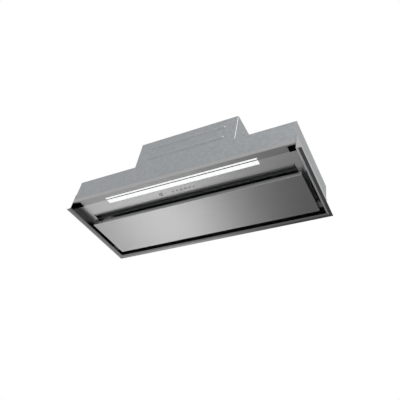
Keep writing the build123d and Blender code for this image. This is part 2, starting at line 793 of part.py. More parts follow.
# Panel hinges: ear on the panel, pin across the gap, bracket on the frame wall
pivot_y = panel_y1 - pivot_from_rear
pin_radius = hinge_pin_diameter / 2
ear_outer = liner_half - ear_play
ear_inner = ear_outer - hinge_strap
pin_inner = ear_inner - pin_tail
shelf_inner = panel_half + hinge_shelf_play
hinge_y0 = pivot_y - hinge_length / 2
hinge_y1 = pivot_y + hinge_length / 2
magnet_outer = liner_half - magnet_inset
magnet_inner = magnet_outer - magnet_size[0]
for side, name in ((-1, "left"), (1, "right")):
    with BuildPart() as panel_ear:
        with BuildSketch(Plane.YZ.offset(side * ear_outer)) as ear_face:
            with Locations((pivot_y, pivot_height)):
                Circle(ear_radius)
            with Locations((pivot_y, (pivot_height + liner_top) / 2)):
                Rectangle(2 * ear_radius, pivot_height - liner_top)
            with Locations((pivot_y, pivot_height)):
                Circle(pin_radius + hinge_play, mode=Mode.SUBTRACT)
        extrude(ear_face.sketch, amount=-side * hinge_strap)
        block(-half_width, half_width, hinge_y0, hinge_y1, lip_underside, liner_top, Mode.SUBTRACT)
        foot = sorted((side * (ear_outer - ear_foot[0]), side * ear_outer))
        foot_y = (pivot_y - ear_foot[1] / 2, pivot_y + ear_foot[1] / 2)
        block(*foot, *foot_y, liner_top, liner_top + hinge_strap)
        relief = sorted((side * ear_inner, side * (ear_outer - ear_foot[0])))
        relief_y = (pivot_y - pin_radius - ear_play, pivot_y + pin_radius + ear_play)
        block(*relief, *relief_y, liner_top - over, liner_top + hinge_strap + over, Mode.SUBTRACT)
    save(panel_ear, "panel_ear_" + name)

    with BuildPart() as hinge_bracket:
        shelf = sorted((side * shelf_inner, side * inner_x))
        block(*shelf, hinge_y0, hinge_y1, hinge_shelf_height, hinge_shelf_height + hinge_strap)
        leg = sorted((side * (inner_x - hinge_strap), side * inner_x))
        block(*leg, hinge_y0, hinge_y1, hinge_shelf_height, pivot_height + bracket_rise)
        fillet(hinge_bracket.edges().filter_by(Axis.X).group_by(Axis.Z)[-1], radius=bracket_corner)
        hole_at = (side * (inner_x + over), pivot_y, pivot_height)
        peg(hole_at, (-side, 0, 0), pin_radius, hinge_strap + 2 * over, Mode.SUBTRACT)
    save(hinge_bracket, "hinge_bracket_" + name)

    with BuildPart() as hinge_pin:
        pin_at = (side * inner_x, pivot_y, pivot_height)
        peg(pin_at, (-side, 0, 0), pin_radius, inner_x - pin_inner)
        collar_at = (side * (inner_x - hinge_strap), pivot_y, pivot_height)
        peg(collar_at, (-side, 0, 0), pin_collar[0] / 2, pin_collar[1])
        pin_edges = hinge_pin.edges().filter_by(GeomType.CIRCLE).sort_by(Axis.X)
        fillet(pin_edges[0 if side > 0 else -1], radius=pin_edge)
    save(hinge_pin, "hinge_pin_" + name)

    with BuildPart() as panel_magnet:
        magnet_x = sorted((side * magnet_inner, side * magnet_outer))
        magnet_y1 = tab_rear - magnet_setback
        magnet_y0 = magnet_y1 - magnet_size[1]
        block(*magnet_x, magnet_y0, magnet_y1, liner_top, strip_z - magnet_gap)
        fillet(panel_magnet.edges().filter_by(Axis.Z), radius=panel_edge)
    save(panel_magnet, "panel_magnet_" + name)

# Motor box: upper casing on the canopy, flanged at its foot
duct_radius = duct_diameter / 2
base_half = duct_radius + collar_margin
volute_left = bulkhead_y + shell_steel - volute_overhang + volute_wall
volute_right = box_rear - volute_rear_gap - volute_wall
volute_radius = (volute_right - volute_left - 3 * volute_step) / 2
volute_width = wheel_width + 2 * (wheel_side_play + volute_wall)
volute_centre_y = volute_right - volute_radius
volute_centre_z = filter_top + volute_lift + volute_wall + volute_radius + volute_step
tongue_y = volute_centre_y - tongue_offset
tongue_z = volute_centre_z + (volute_radius**2 - tongue_offset**2) ** 0.5
scroll_top = tongue_z + outlet_neck
box_top = scroll_top + shell_steel
outlet_half = volute_width / 2 - volute_wall
outlet_y = (volute_left + tongue_y) / 2
collar_inset = base_half - collar_screw_inset
collar_screws = [
    (x, outlet_y + y, box_top + collar_base)
    for x in (-collar_inset, collar_inset)
    for y in (-collar_inset, collar_inset)
]
with BuildPart() as motor_box:
    block(-box_half, box_half, box_front, box_rear, shell_top, box_top)
    fillet(motor_box.edges().filter_by(Axis.Z), radius=box_corner)
    fillet(motor_box.edges().group_by(Axis.Z)[-1], radius=box_edge)
    block(
        -box_half - box_flange,
        box_half + box_flange,
        box_front - box_flange,
        box_rear + box_flange,
        shell_top,
        shell_top + shell_steel,
    )
    block(
        -box_half + shell_steel,
        box_half - shell_steel,
        box_front + shell_steel,
        box_rear - shell_steel,
        shell_top - over,
        box_top - shell_steel,
        Mode.SUBTRACT,
    )
    block(
        -outlet_half,
        outlet_half,
        volute_left,
        tongue_y,
        box_top - shell_steel - over,
        box_top + over,
        Mode.SUBTRACT,
    )
    for place in box_screws:
        peg(place, (0, 0, -1), screw_radius, screw_length, Mode.SUBTRACT)
    for place in collar_screws:
        peg(place, (0, 0, -1), screw_radius, screw_length, Mode.SUBTRACT)
save(motor_box, "motor_box")


# Fan scroll: volute of three arcs that grow by a fixed step, in two halves
wheel_y = volute_centre_y - volute_step / 2
wheel_z = volute_centre_z + volute_step / 2
wheel_radius = volute_radius - wheel_gap
inlet_radius = wheel_radius - inlet_inset


def volute_outline():
    """Draws the flow passage of the scroll in the current sketch of the YZ plane."""
    y1, z1 = volute_centre_y, volute_centre_z
    r1 = volute_radius
    r2 = r1 + volute_step
    r3 = r2 + volute_step
    y2 = y1 - volute_step
    z3 = z1 + volute_step
    turn = 0.5**0.5
    with BuildLine() as outline:
        Line((tongue_y, scroll_top), (tongue_y, tongue_z))
        ThreePointArc(
            (tongue_y, tongue_z),
            (y1 + r1 * turn, z1 + r1 * turn),
            (y1 + r1, z1),
        )
        ThreePointArc((y2 + r2, z1), (y2 + r2 * turn, z1 - r2 * turn), (y2, z1 - r2))
        ThreePointArc((y2, z3 - r3), (y2 - r3 * turn, z3 - r3 * turn), (y2 - r3, z3))
        Line((y2 - r3, z3), (y2 - r3, scroll_top))
        Line((y2 - r3, scroll_top), (tongue_y, scroll_top))
    return outline.wire()


for side, name in ((-1, "left"), (1, "right")):
    with BuildPart() as scroll_half:
        with BuildSketch(Plane.YZ) as casing:
            make_face(volute_outline().edges())
            offset(amount=volute_wall)
            with Locations((volute_centre_y, scroll_top + volute_radius)):
                Rectangle(6 * volute_radius, 2 * volute_radius, mode=Mode.SUBTRACT)
        extrude(casing.sketch, amount=side * volute_width / 2)
        with BuildSketch(Plane.YZ) as passage:
            make_face(volute_outline().edges())
        extrude(passage.sketch, amount=side * outlet_half, mode=Mode.SUBTRACT)
        plate = (side * outlet_half, wheel_y, wheel_z)
        peg(plate, (-side, 0, 0), inlet_radius + volute_wall, inlet_ring)
        peg(
            (side * volute_width, wheel_y, wheel_z),
            (-side, 0, 0),
            inlet_radius,
            volute_width,
            Mode.SUBTRACT,
        )
    save(scroll_half, "scroll_" + name)

# Impeller: centre disc, hub, end rings and two rows of forward-curved blades
blade_inner = wheel_radius - blade_depth
with BuildSketch() as blade:
    with BuildLine():
        ThreePointArc(
            (blade_inner, 0),
            (wheel_radius - 0.42 * blade_depth, blade_camber),
            (wheel_radius - wheel_edge, blade_lead),
        )
    trace(line_width=blade_thickness)
with BuildPart() as impeller:
    with BuildSketch(Plane.YZ.offset(-(wheel_width - wheel_ring) / 2)) as blade_row:
        with Locations((wheel_y, wheel_z)):
            with PolarLocations(0, blade_count):
                add(blade.sketch)
    extrude(blade_row.sketch, amount=wheel_width - wheel_ring)
    for x0 in (-wheel_width / 2, wheel_width / 2 - wheel_ring):
        with BuildSketch(Plane.YZ.offset(x0)) as end_ring:
            with Locations((wheel_y, wheel_z)):
                Circle(wheel_radius)
                Circle(wheel_radius - 0.7 * blade_depth, mode=Mode.SUBTRACT)
        extrude(end_ring.sketch, amount=wheel_ring)
    peg((-wheel_ring / 2, wheel_y, wheel_z), (1, 0, 0), wheel_radius, wheel_ring)
    hub_start = (-hub_length[0], wheel_y, wheel_z)
    peg(hub_start, (1, 0, 0), hub_diameter / 2, sum(hub_length))
    peg(hub_start, (1, 0, 0), shaft_diameter / 2, sum(hub_length), Mode.SUBTRACT)
save(impeller, "impeller")

# Motor shaft, from inside the motor to the far end of the hub
motor_end = motor_overlap - wheel_width / 2
shaft_start = motor_end - shaft_inside
shaft_length = hub_length[1] + shaft_tail - shaft_start
with BuildPart() as motor_shaft:
    peg((shaft_start, wheel_y, wheel_z), (1, 0, 0), shaft_diameter / 2, shaft_length)
save(motor_shaft, "motor_shaft")

# Motor: stator stack between two rounded end bells, bored for the shaft
motor_radius = blade_inner - motor_gap
motor_start = motor_end - motor_length
with BuildPart() as motor:
    peg((motor_start, wheel_y, wheel_z), (1, 0, 0), motor_radius - bell_step, motor_length)
    fillet(motor.edges().filter_by(GeomType.CIRCLE), radius=bell_round)
    stator_at = (motor_start + bell_length, wheel_y, wheel_z)
    peg(stator_at, (1, 0, 0), motor_radius, motor_length - 2 * bell_length)
    bore_at = (shaft_start - over, wheel_y, wheel_z)
    bore_radius = shaft_diameter / 2 + shaft_play
    peg(bore_at, (1, 0, 0), bore_radius, shaft_inside + 2 * over, Mode.SUBTRACT)
save(motor, "motor")

# Motor bracket: clamp ring with three arms that reach the scroll's side plate
plate_x = -volute_width / 2
clamp_x0 = motor_start + clamp_setback
clamp_outer = motor_radius + clamp_steel
leg_radius = inlet_radius + leg_clear + leg_steel / 2
with BuildPart() as motor_bracket:
    with BuildSketch(Plane.YZ.offset(clamp_x0)) as clamp_ring:
        with Locations((wheel_y, wheel_z)):
            Circle(clamp_outer)
            with PolarLocations((motor_radius + leg_radius) / 2, arm_count, 90):
                Rectangle(leg_radius - motor_radius + leg_steel, arm_width)
            Circle(motor_radius, mode=Mode.SUBTRACT)
    extrude(clamp_ring.sketch, amount=clamp_steel)
    with BuildSketch(Plane.YZ.offset(clamp_x0)) as clamp_band:
        with Locations((wheel_y, wheel_z)):
            Circle(clamp_outer)
            Circle(motor_radius, mode=Mode.SUBTRACT)
    extrude(clamp_band.sketch, amount=clamp_width)
    with BuildSketch(Plane.YZ.offset(clamp_x0)) as arm_legs:
        with Locations((wheel_y, wheel_z)):
            with PolarLocations(leg_radius, arm_count, 90):
                Rectangle(leg_steel, arm_width)
    extrude(arm_legs.sketch, amount=plate_x - bush_length - clamp_x0)
save(motor_bracket, "motor_bracket")

# Rubber bushes between the bracket's legs and the scroll
with BuildPart() as motor_bushes:
    with BuildSketch(Plane.YZ.offset(plate_x - bush_length)) as bush_pads:
        with Locations((wheel_y, wheel_z)):
            with PolarLocations(leg_radius, arm_count, 90):
                Circle(bush_diameter / 2)
    extrude(bush_pads.sketch, amount=bush_length)
save(motor_bushes, "motor_bushes")

# Outlet collar: square base, round spigot and the seat of the flaps
collar_inner = duct_radius - collar_wall
flap_z = box_top + seat_height
pivot_z = flap_z + flap_knuckle / 2
pin_places = (outlet_y - flap_pin_spacing / 2, outlet_y + flap_pin_spacing / 2)
with BuildPart() as outlet_collar:
    base_y = (outlet_y - base_half, outlet_y + base_half)
    block(-base_half, base_half, *base_y, box_top, box_top + collar_base)
    fillet(outlet_collar.edges().filter_by(Axis.Z), radius=collar_corner)
    peg((0, outlet_y, box_top), (0, 0, 1), duct_radius, collar_height)
    chamfer(outlet_collar.edges().group_by(Axis.Z)[-1], length=collar_edge)
    bore_at = (0, outlet_y, box_top - over)
    peg(bore_at, (0, 0, 1), collar_inner, collar_height + 2 * over, Mode.SUBTRACT)
    with BuildSketch(Plane.XY.offset(flap_z - seat_thickness)) as flap_seat:
        with Locations((0, outlet_y)):
            Circle(collar_inner + fit)
            Circle(collar_inner - seat_width, mode=Mode.SUBTRACT)
    extrude(flap_seat.sketch, amount=seat_thickness)
    for y in pin_places:
        hole_at = (-duct_radius - over, y, pivot_z)
        peg(hole_at, (1, 0, 0), flap_pin_diameter / 2, duct_diameter + 2 * over, Mode.SUBTRACT)
    for place in collar_screws:
        peg(place, (0, 0, -1), screw_radius, screw_length, Mode.SUBTRACT)
save(outlet_collar, "outlet_collar")

# Flap pins: two wires across the collar
pin_half = (duct_radius**2 - (flap_pin_spacing / 2) ** 2) ** 0.5 - flap_pin_setback
with BuildPart() as flap_pins:
    for y in pin_places:
        peg((-pin_half, y, pivot_z), (1, 0, 0), flap_pin_diameter / 2, 2 * pin_half)
save(flap_pins, "flap_pins")

# Non-return flaps: half discs that lift round their pins
flap_radius = collar_inner - flap_play
knuckle_half = flap_radius - flap_shoulder
for side, name, pin_y in ((-1, "front", pin_places[0]), (1, "rear", pin_places[1])):
    with BuildPart() as flap:
        with BuildSketch(Plane.XY.offset(flap_z)) as half_disc:
            with Locations((0, outlet_y)):
                Circle(flap_radius)
            with Locations((0, pin_y - side * flap_radius)):
                Rectangle(4 * flap_radius, 2 * flap_radius, mode=Mode.SUBTRACT)
            for end in (-1, 1):
                with Locations((end * (knuckle_half + flap_shoulder), pin_y)):
                    Rectangle(2 * flap_shoulder, flap_pin_spacing, mode=Mode.SUBTRACT)
        extrude(half_disc.sketch, amount=flap_thickness)
        knuckle_at = (-knuckle_half, pin_y, pivot_z)
        bore_radius = flap_pin_diameter / 2 + flap_pin_play
        peg(knuckle_at, (1, 0, 0), flap_knuckle / 2, 2 * knuckle_half)
        peg(knuckle_at, (1, 0, 0), bore_radius, 2 * knuckle_half, Mode.SUBTRACT)
    save(flap, "flap_" + name)

# Terminal box: open base, lid and power board
length, depth, height = terminal_box
side_room_x = (box_half + box_flange + shell_x) / 2
term_x, term_y = side_room_x, terminal_y
tx0, tx1 = term_x - length / 2, term_x + length / 2
ty0, ty1 = term_y - depth / 2, term_y + depth / 2
terminal_top = shell_top + height
lid_top = terminal_top + lid_thickness
gland_z = shell_top + height / 2
boss_x = length / 2 - terminal_wall - boss_diameter * 0.4
boss_y = depth / 2 - terminal_wall - boss_diameter * 0.4
boss_places = [(term_x + side * boss_x, term_y + end * boss_y) for side in (-1, 1) for end in (-1, 1)]
with BuildPart() as terminal_base:
    block(tx0, tx1, ty0, ty1, shell_top, terminal_top)
    fillet(terminal_base.edges().filter_by(Axis.Z), radius=terminal_corner)
    block(
        tx0 + terminal_wall,
        tx1 - terminal_wall,
        ty0 + terminal_wall,
        ty1 - terminal_wall,
        shell_top + terminal_wall,
        terminal_top + over,
        Mode.SUBTRACT,
    )
    for x, y in boss_places:
        peg((x, y, shell_top), (0, 0, 1), boss_diameter / 2, height)
        peg((x, y, shell_top + terminal_wall), (0, 0, 1), screw_radius, height, Mode.SUBTRACT)
    gland_hole_at = (term_x, ty1 - terminal_wall - over, gland_z)
    peg(gland_hole_at, (0, 1, 0), gland_thread / 2, terminal_wall + 2 * over, Mode.SUBTRACT)
save(terminal_base, "terminal_base")

# Terminal lid, screwed to the bosses of its base
with BuildPart() as terminal_lid:
    block(tx0, tx1, ty0, ty1, terminal_top, lid_top)
    fillet(terminal_lid.edges().filter_by(Axis.Z), radius=terminal_corner)
    fillet(terminal_lid.edges().group_by(Axis.Z)[-1], radius=lid_edge)
    for x, y in boss_places:
        peg((x, y, terminal_top - over), (0, 0, 1), screw_radius, lid_thickness + 2 * over, Mode.SUBTRACT)
save(terminal_lid, "terminal_lid")

# Power board: circuit board with its transformer and relay
with BuildPart() as power_board:
    board_low = shell_top + terminal_wall
    board_top = board_low + board_thickness
    bx0, bx1 = term_x - power_board_size[0] / 2, term_x + power_board_size[0] / 2
    by0, by1 = term_y - power_board_size[1] / 2, term_y + power_board_size[1] / 2
    block(bx0, bx1, by0, by1, board_low, board_top)
    part_x0, part_x1, part_y0 = bx0 + part_inset, bx1 - part_inset, by0 + part_inset
    part_tops = (board_top + transformer[2], board_top + relay[2])
    block(part_x0, part_x0 + transformer[0], part_y0, part_y0 + transformer[1], board_top, part_tops[0])
    block(part_x1 - relay[0], part_x1, part_y0, part_y0 + relay[1], board_top, part_tops[1])
save(power_board, "power_board")

# Cable gland: body through the box wall, hexagon outside and domed nut
with BuildPart() as cable_gland:
    gland_start = (term_x, ty1 - terminal_wall, gland_z)
    peg(gland_start, (0, 1, 0), gland_thread / 2, terminal_wall + over)
    hexagon_plane = Plane(origin=(term_x, ty1, gland_z), x_dir=(1, 0, 0), z_dir=(0, 1, 0))
    with BuildSketch(hexagon_plane) as hexagon:
        RegularPolygon(radius=gland_hexagon[0], side_count=6)
    extrude(hexagon.sketch, amount=gland_hexagon[1])
    nut_at = (term_x, ty1 + gland_hexagon[1], gland_z)
    peg(nut_at, (0, 1, 0), gland_nut / 2, gland_length - gland_hexagon[1])
    nut_edges = cable_gland.edges().filter_by(GeomType.CIRCLE).sort_by(Axis.Y)
    fillet(nut_edges[-1], radius=gland_round)
    peg(gland_start, (0, 1, 0), gland_bore / 2, gland_length + terminal_wall, Mode.SUBTRACT)
save(cable_gland, "cable_gland")

# Capacitor, lying in its clip on the canopy
cap_x, cap_y = -side_room_x, capacitor_y
cap_radius = capacitor_diameter / 2
cap_z = shell_top + clip_steel + cap_radius
cap_end = cap_x + capacitor_length / 2
with BuildPart() as capacitor:
    peg((cap_x - capacitor_length / 2, cap_y, cap_z), (1, 0, 0), cap_radius, capacitor_length)
    fillet(capacitor.edges().filter_by(GeomType.CIRCLE), radius=capacitor_edge)
    with Locations((cap_end + capacitor_tag[0] / 2 - overlap, cap_y, cap_z)):
        with GridLocations(1, tag_pitch, 1, 2):
            Box(*capacitor_tag)
save(capacitor, "capacitor")

# Capacitor clip: sheet strap round the can with a foot on either side
with BuildPart() as capacitor_clip:
    with BuildSketch(Plane.YZ.offset(cap_x - clip_width / 2)) as clip_section:
        with Locations((cap_y, cap_z)):
            Circle(cap_radius + clip_steel)
        with Locations((cap_y, shell_top + clip_steel / 2)):
            Rectangle(2 * (cap_radius + clip_foot), clip_steel)
        with Locations((cap_y, cap_z)):
            Circle(cap_radius, mode=Mode.SUBTRACT)
    extrude(clip_section.sketch, amount=clip_width)
save(capacitor_clip, "capacitor_clip")

# Blind rivets that join canopy shell and frame, domed inside
rivet_grip = frame_sheet + shell_play + shell_steel
rivet_places = []
for side in (-1, 1):
    for y in rivet_side_y:
        rivet_places.append(((side * (inner_x + frame_sheet), y, rivet_z), (-side, 0, 0)))
for x in rivet_rear_x:
    rivet_places.append(((x, inner_y + frame_sheet, rivet_z), (0, -1, 0)))
with BuildPart() as frame_rivets:
    for start, direction in rivet_places:
        peg(start, direction, rivet_diameter / 2, rivet_grip)
        head_at = [s + d * rivet_grip for s, d in zip(start, direction)]
        with BuildSketch(Plane(origin=head_at, z_dir=direction)) as head:
            Circle(rivet_head / 2)
        extrude(head.sketch, amount=rivet_head_height, taper=35)
save(frame_rivets, "frame_rivets")

# Sheet screws that hold the motor box, the collar and the terminal lid
lid_screws = [(x, y, lid_top) for x, y in boss_places]
with BuildPart() as sheet_screws:
    for place in box_screws + collar_screws + lid_screws:
        peg(place, (0, 0, -1), screw_radius, screw_length)
        with BuildSketch(Plane(origin=place, z_dir=(0, 0, 1))) as head:
            Circle(screw_head / 2)
        extrude(head.sketch, amount=screw_head_height, taper=20)
save(sheet_screws, "sheet_screws")
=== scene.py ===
import bmesh
import bpy
from math import pi, radians
from mathutils import Matrix, Vector


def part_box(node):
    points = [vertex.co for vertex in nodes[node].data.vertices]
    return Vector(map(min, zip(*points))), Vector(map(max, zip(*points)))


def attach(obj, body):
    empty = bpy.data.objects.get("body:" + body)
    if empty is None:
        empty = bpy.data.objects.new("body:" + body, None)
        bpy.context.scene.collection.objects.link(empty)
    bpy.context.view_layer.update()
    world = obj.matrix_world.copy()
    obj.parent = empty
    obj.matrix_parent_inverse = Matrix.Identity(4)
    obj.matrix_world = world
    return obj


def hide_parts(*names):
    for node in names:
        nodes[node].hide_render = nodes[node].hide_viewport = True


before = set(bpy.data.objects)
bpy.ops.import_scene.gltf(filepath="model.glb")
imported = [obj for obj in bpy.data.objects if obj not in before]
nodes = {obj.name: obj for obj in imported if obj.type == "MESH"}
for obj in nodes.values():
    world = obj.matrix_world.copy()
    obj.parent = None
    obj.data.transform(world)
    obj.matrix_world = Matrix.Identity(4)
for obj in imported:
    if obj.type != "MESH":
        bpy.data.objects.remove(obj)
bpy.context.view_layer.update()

# Frame: stainless steel sheet, 1.2 mm, ground along its length and folded on a press
# brake. Its walls rise into the cabinet, and its lip closes the cabinet's floor from
# below, at both sides and the rear.


def linear(colour):
    """Turns an sRGB hex colour to the linear red, green, blue and alpha that nodes take."""
    parts = [int(colour[i:i + 2], 16) / 255 for i in (1, 3, 5)]
    return [p / 12.92 if p <= 0.04045 else ((p + 0.055) / 1.055) ** 2.4 for p in parts] + [1.0]


def add_node(finish, kind, settings=None, links=None):
    """Adds a node. Settings are its sockets or properties, links are outputs that feed it."""
    node = finish.node_tree.nodes.new(kind)
    for name, value in (settings or {}).items():
        if isinstance(name, int) or name in node.inputs:
            node.inputs[name].default_value = value
        else:
            setattr(node, name, value)
    for name, output in (links or {}).items():
        finish.node_tree.links.new(output, node.inputs[name])
    return node


def start_finish(name, colour, metallic, roughness):
    """Starts a finish: returns its material, its shader and its Object coordinates."""
    finish = bpy.data.materials.new(name)
    finish.use_nodes = True
    shader = finish.node_tree.nodes["Principled BSDF"]
    shader.inputs["Base Color"].default_value = linear(colour)
    shader.inputs["Metallic"].default_value = metallic
    shader.inputs["Roughness"].default_value = roughness
    place = add_node(finish, "ShaderNodeTexCoord")
    return finish, shader, place.outputs["Object"]


def feed(finish, shader, **sockets):
    """Links outputs to the shader's sockets, with spaces for underscores."""
    for name, output in sockets.items():
        finish.node_tree.links.new(output, shader.inputs[name.replace("_", " ")])


def ramp(finish, source, low, high):
    """Stretches a pattern's middle, which a noise seldom leaves, to run from low to high."""
    stretch = {"From Min": 0.3, "From Max": 0.7, "To Min": low, "To Max": high}
    return add_node(finish, "ShaderNodeMapRange", stretch, {"Value": source}).outputs["Result"]


def noise(finish, place, scale, detail):
    """Returns a soft random pattern. Its scale is one over the size of a patch, in metres."""
    return add_node(finish, "ShaderNodeTexNoise", {"Scale": scale, "Detail": detail},
                    {"Vector": place}).outputs["Fac"]


def stretched(finish, place, scales):
    """Returns coordinates with a scale of their own along each axis."""
    return add_node(finish, "ShaderNodeMapping", {"Scale": scales},
                    {"Vector": place}).outputs["Vector"]


def relief(finish, height, strength, depth):
    """Returns a normal that is tilted by a pattern of the given depth, in metres."""
    return add_node(finish, "ShaderNodeBump", {"Strength": strength, "Distance": depth},
                    {"Height": height}).outputs["Normal"]


def tint(finish, source, dark, light):
    """Turns a pattern to a colour between dark and light."""
    blend = {"data_type": "RGBA", 6: linear(dark), 7: linear(light)}
    return add_node(finish, "ShaderNodeMix", blend, {0: source}).outputs[2]


def brushed_steel(name, dark, light, smooth, dull):
    """Stainless steel ground with fine grit: faint streaks along X, and wiped patches.

    The streaks are drawn 0.9 mm wide, so that they show.
    """
    streak_width = 0.0009
    streak_length = 0.14
    wiped_patch = 0.2
    wiped_share = 0.3
    finish, shader, place = start_finish(name, light, 1.0, smooth)
    grit = noise(finish, stretched(finish, place, (1 / streak_length, 1 / streak_width,
                                                   1 / streak_width)), 1.0, 2.0)
    wiped = add_node(finish, "ShaderNodeMath", {"operation": "MULTIPLY_ADD", 1: wiped_share},
                     {0: noise(finish, place, 1 / wiped_patch, 3.0),
                      2: ramp(finish, grit, 0.0, 1 - wiped_share)}).outputs["Value"]
    across = add_node(finish, "ShaderNodeTangent", {"direction_type": "RADIAL", "axis": "X"})
    shader.inputs["Anisotropic"].default_value = 0.6
    feed(finish, shader, Base_Color=tint(finish, wiped, dark, light),
         Roughness=ramp(finish, wiped, smooth, dull),
         Normal=relief(finish, grit, 0.1, 0.00002), Tangent=across.outputs["Tangent"])
    return finish


def dress(finish, *names):
    """Gives CAD nodes their finish."""
    for name in names:
        for slot in nodes[name].material_slots:
            slot.material = finish


# Painted shade: the frame is the same ground stainless as the control sheet, with its colour set
# much darker for the shade on its lips.
dress(brushed_steel("ground_stainless_frame_painted_shade", "#7F7F7F", "#8B8B8B", 0.13, 0.18),
      "bezel_frame")

# Front rail: stainless sheet, 1.2 mm, with one fold. Its flat strip carries the control
# sheet on to the front, with a slot for the light's narrow band and an open notch at each
# end. Its front stands up behind the cabinet's doors.
rail_sheet = 0.0012
rail_bend = 0.002
notch_inset = 0.0297
notch_setback = 0.006
lens_lap = 0.002
narrow_band = 0.0072
tiny = 0.0001
rail_low, rail_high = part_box("front_rail")
lens_low, lens_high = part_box("light_lens")
steel_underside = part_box("control_sheet")[0].z
band_left = lens_low.x + lens_lap
band_right = lens_high.x - lens_lap
band_front = lens_low.y + lens_lap
band_rear = band_front + narrow_band
notch_left = rail_low.x + notch_inset
notch_right = rail_high.x - notch_inset
notch_front = rail_low.y + notch_setback


def cuboid(low, high):
    """Returns the matrix that stretches a unit cube, or a unit square, from corner to corner."""
    size = [h - l or 1.0 for l, h in zip(low, high)]
    return Matrix.Translation((Vector(low) + Vector(high)) / 2) @ Matrix.Diagonal((*size, 1.0))


def cut(shape, point, direction, **options):
    """Cuts a whole mesh through along a plane, and returns the cut's vertices and edges."""
    return bmesh.ops.bisect_plane(shape, geom=shape.verts[:] + shape.edges[:] + shape.faces[:],
                                  plane_co=point, plane_no=direction, **options)["geom_cut"]


def verts_of(geometry):
    """Picks the vertices out of what an operator returns."""
    return [part for part in geometry if isinstance(part, bmesh.types.BMVert)]


def edges_of(geometry):
    """Picks the edges out of what an operator returns."""
    return [part for part in geometry if isinstance(part, bmesh.types.BMEdge)]


def make_piece(name, shape, finish, body, slot, *replaced):
    """Turns a mesh to a piece that rides on a body and stands for the nodes that it replaces."""
    merge_distance = 0.000002
    crease_angle = radians(32)
    bmesh.ops.remove_doubles(shape, verts=shape.verts, dist=merge_distance)
    bmesh.ops.recalc_face_normals(shape, faces=shape.faces)
    for face in shape.faces:
        face.smooth = True
    for edge in shape.edges:
        edge.smooth = edge.calc_face_angle(pi) < crease_angle
    mesh = bpy.data.meshes.new(name)
    shape.to_mesh(mesh)
    shape.free()
    mesh.materials.append(finish)
    piece = bpy.data.objects.new(name, mesh)
    bpy.context.scene.collection.objects.link(piece)
    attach(piece, body)
    if replaced:
        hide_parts(*replaced)


rail = bmesh.new()
bmesh.ops.create_grid(rail, x_segments=1, y_segments=1, size=0.5,
                      matrix=cuboid((rail_low.x, rail_low.y, steel_underside),
                                    (rail_high.x, rail_high.y, steel_underside)))
for level in (notch_left, band_left, band_right, notch_right):
    cut(rail, (level, 0, 0), (1, 0, 0))
for level in (notch_front, band_front, band_rear):
    cut(rail, (0, level, 0), (0, 1, 0))
openings = []
for face in rail.faces:
    middle = face.calc_center_median()
    in_slot = band_left < middle.x < band_right and band_front < middle.y < band_rear
    in_notch = not notch_left < middle.x < notch_right and middle.y > notch_front
    if in_slot or in_notch:
        openings.append(face)
bmesh.ops.delete(rail, geom=openings, context="FACES")
fold = [edge for edge in rail.edges if all(v.co.y < rail_low.y + tiny for v in edge.verts)]
for vert in verts_of(bmesh.ops.extrude_edge_only(rail, edges=fold)["geom"]):
    vert.co.z = rail_high.z
bmesh.ops.bevel(rail, geom=fold, offset=rail_bend, affect="EDGES", segments=5, profile=0.5,
                material=-1)
bmesh.ops.recalc_face_normals(rail, faces=rail.faces)
bmesh.ops.solidify(rail, geom=rail.faces[:], thickness=rail_sheet)
# Painted shade: the rail is the same ground stainless as the control sheet, with its colour set
# darker for the shade the cabinet's doors cast on it.
rail_steel_painted_shade = brushed_steel("ground_stainless_rail_painted_shade", "#A0A0A0", "#ACACAC", 0.38, 0.43)
make_piece("front_rail_sheet", rail, rail_steel_painted_shade, "hood", "frame_steel", "front_rail")

# Control sheet: stainless steel, 1 mm, ground from side to side. It is rolled up
# behind the controls, so that the air runs round it, and holds two keeper tabs.
dress(brushed_steel("ground_stainless_controls", "#C3C3C3", "#CFCFCF", 0.36, 0.41),
      "control_sheet")

# Light: two bands of one opal acrylic moulding, lit by a row of chips above it. An
# extruded aluminium channel with cooling fins holds the circuit board over the lens,
# and a moulded cap closes it at each end.
chip_pitch = 0.0243


def lit_opal(name, colour, shade, strength):
    """Opal acrylic, moulded: an even white glow, a little stronger under each light chip."""
    finish, shader, place = start_finish(name, colour, 0.0, 0.35)
    along = add_node(finish, "ShaderNodeSeparateXYZ", None, {"Vector": place})
    phase = add_node(finish, "ShaderNodeMath", {"operation": "MULTIPLY", 1: 2 * pi / chip_pitch},
                     {0: along.outputs["X"]})
    glow = add_node(finish, "ShaderNodeMath", {"operation": "COSINE"},
                    {0: phase.outputs["Value"]})
    spot = add_node(finish, "ShaderNodeMapRange", {"From Min": -1.0},
                    {"Value": glow.outputs["Value"]})
    feed(finish, shader, Emission_Color=tint(finish, spot.outputs["Result"], shade, colour))
    shader.inputs["Emission Strength"].default_value = strength
    return finish


def extruded_aluminium(name, dark, light):
    """Aluminium pushed through a die: dull, with fine die lines along X.

    The lines are drawn 0.8 mm apart, so that they show.
    """
    line_width = 0.0008
    line_length = 0.25
    finish, shader, place = start_finish(name, light, 1.0, 0.42)
    lines = noise(finish, stretched(finish, place, (1 / line_length, 1 / line_width,
                                                    1 / line_width)), 1.0, 2.0)
    feed(finish, shader, Base_Color=tint(finish, lines, dark, light),
         Roughness=ramp(finish, lines, 0.36, 0.5), Normal=relief(finish, lines, 0.3, 0.00005))
    return finish


def moulded(name, dark, light, roughness, grain):
    """Injection-moulded plastic with a spark-eroded grain, whose size is in metres."""
    flow_marks_per_metre = 18.0
    finish, shader, place = start_finish(name, light, 0.0, roughness)
    cells = noise(finish, place, 1 / grain, 3.0)
    flow = noise(finish, place, flow_marks_per_metre, 2.0)
    feed(finish, shader, Base_Color=tint(finish, flow, dark, light),
         Roughness=ramp(finish, cells, roughness - 0.06, roughness + 0.08),
         Normal=relief(finish, cells, 0.35, 0.0001))
    return finish


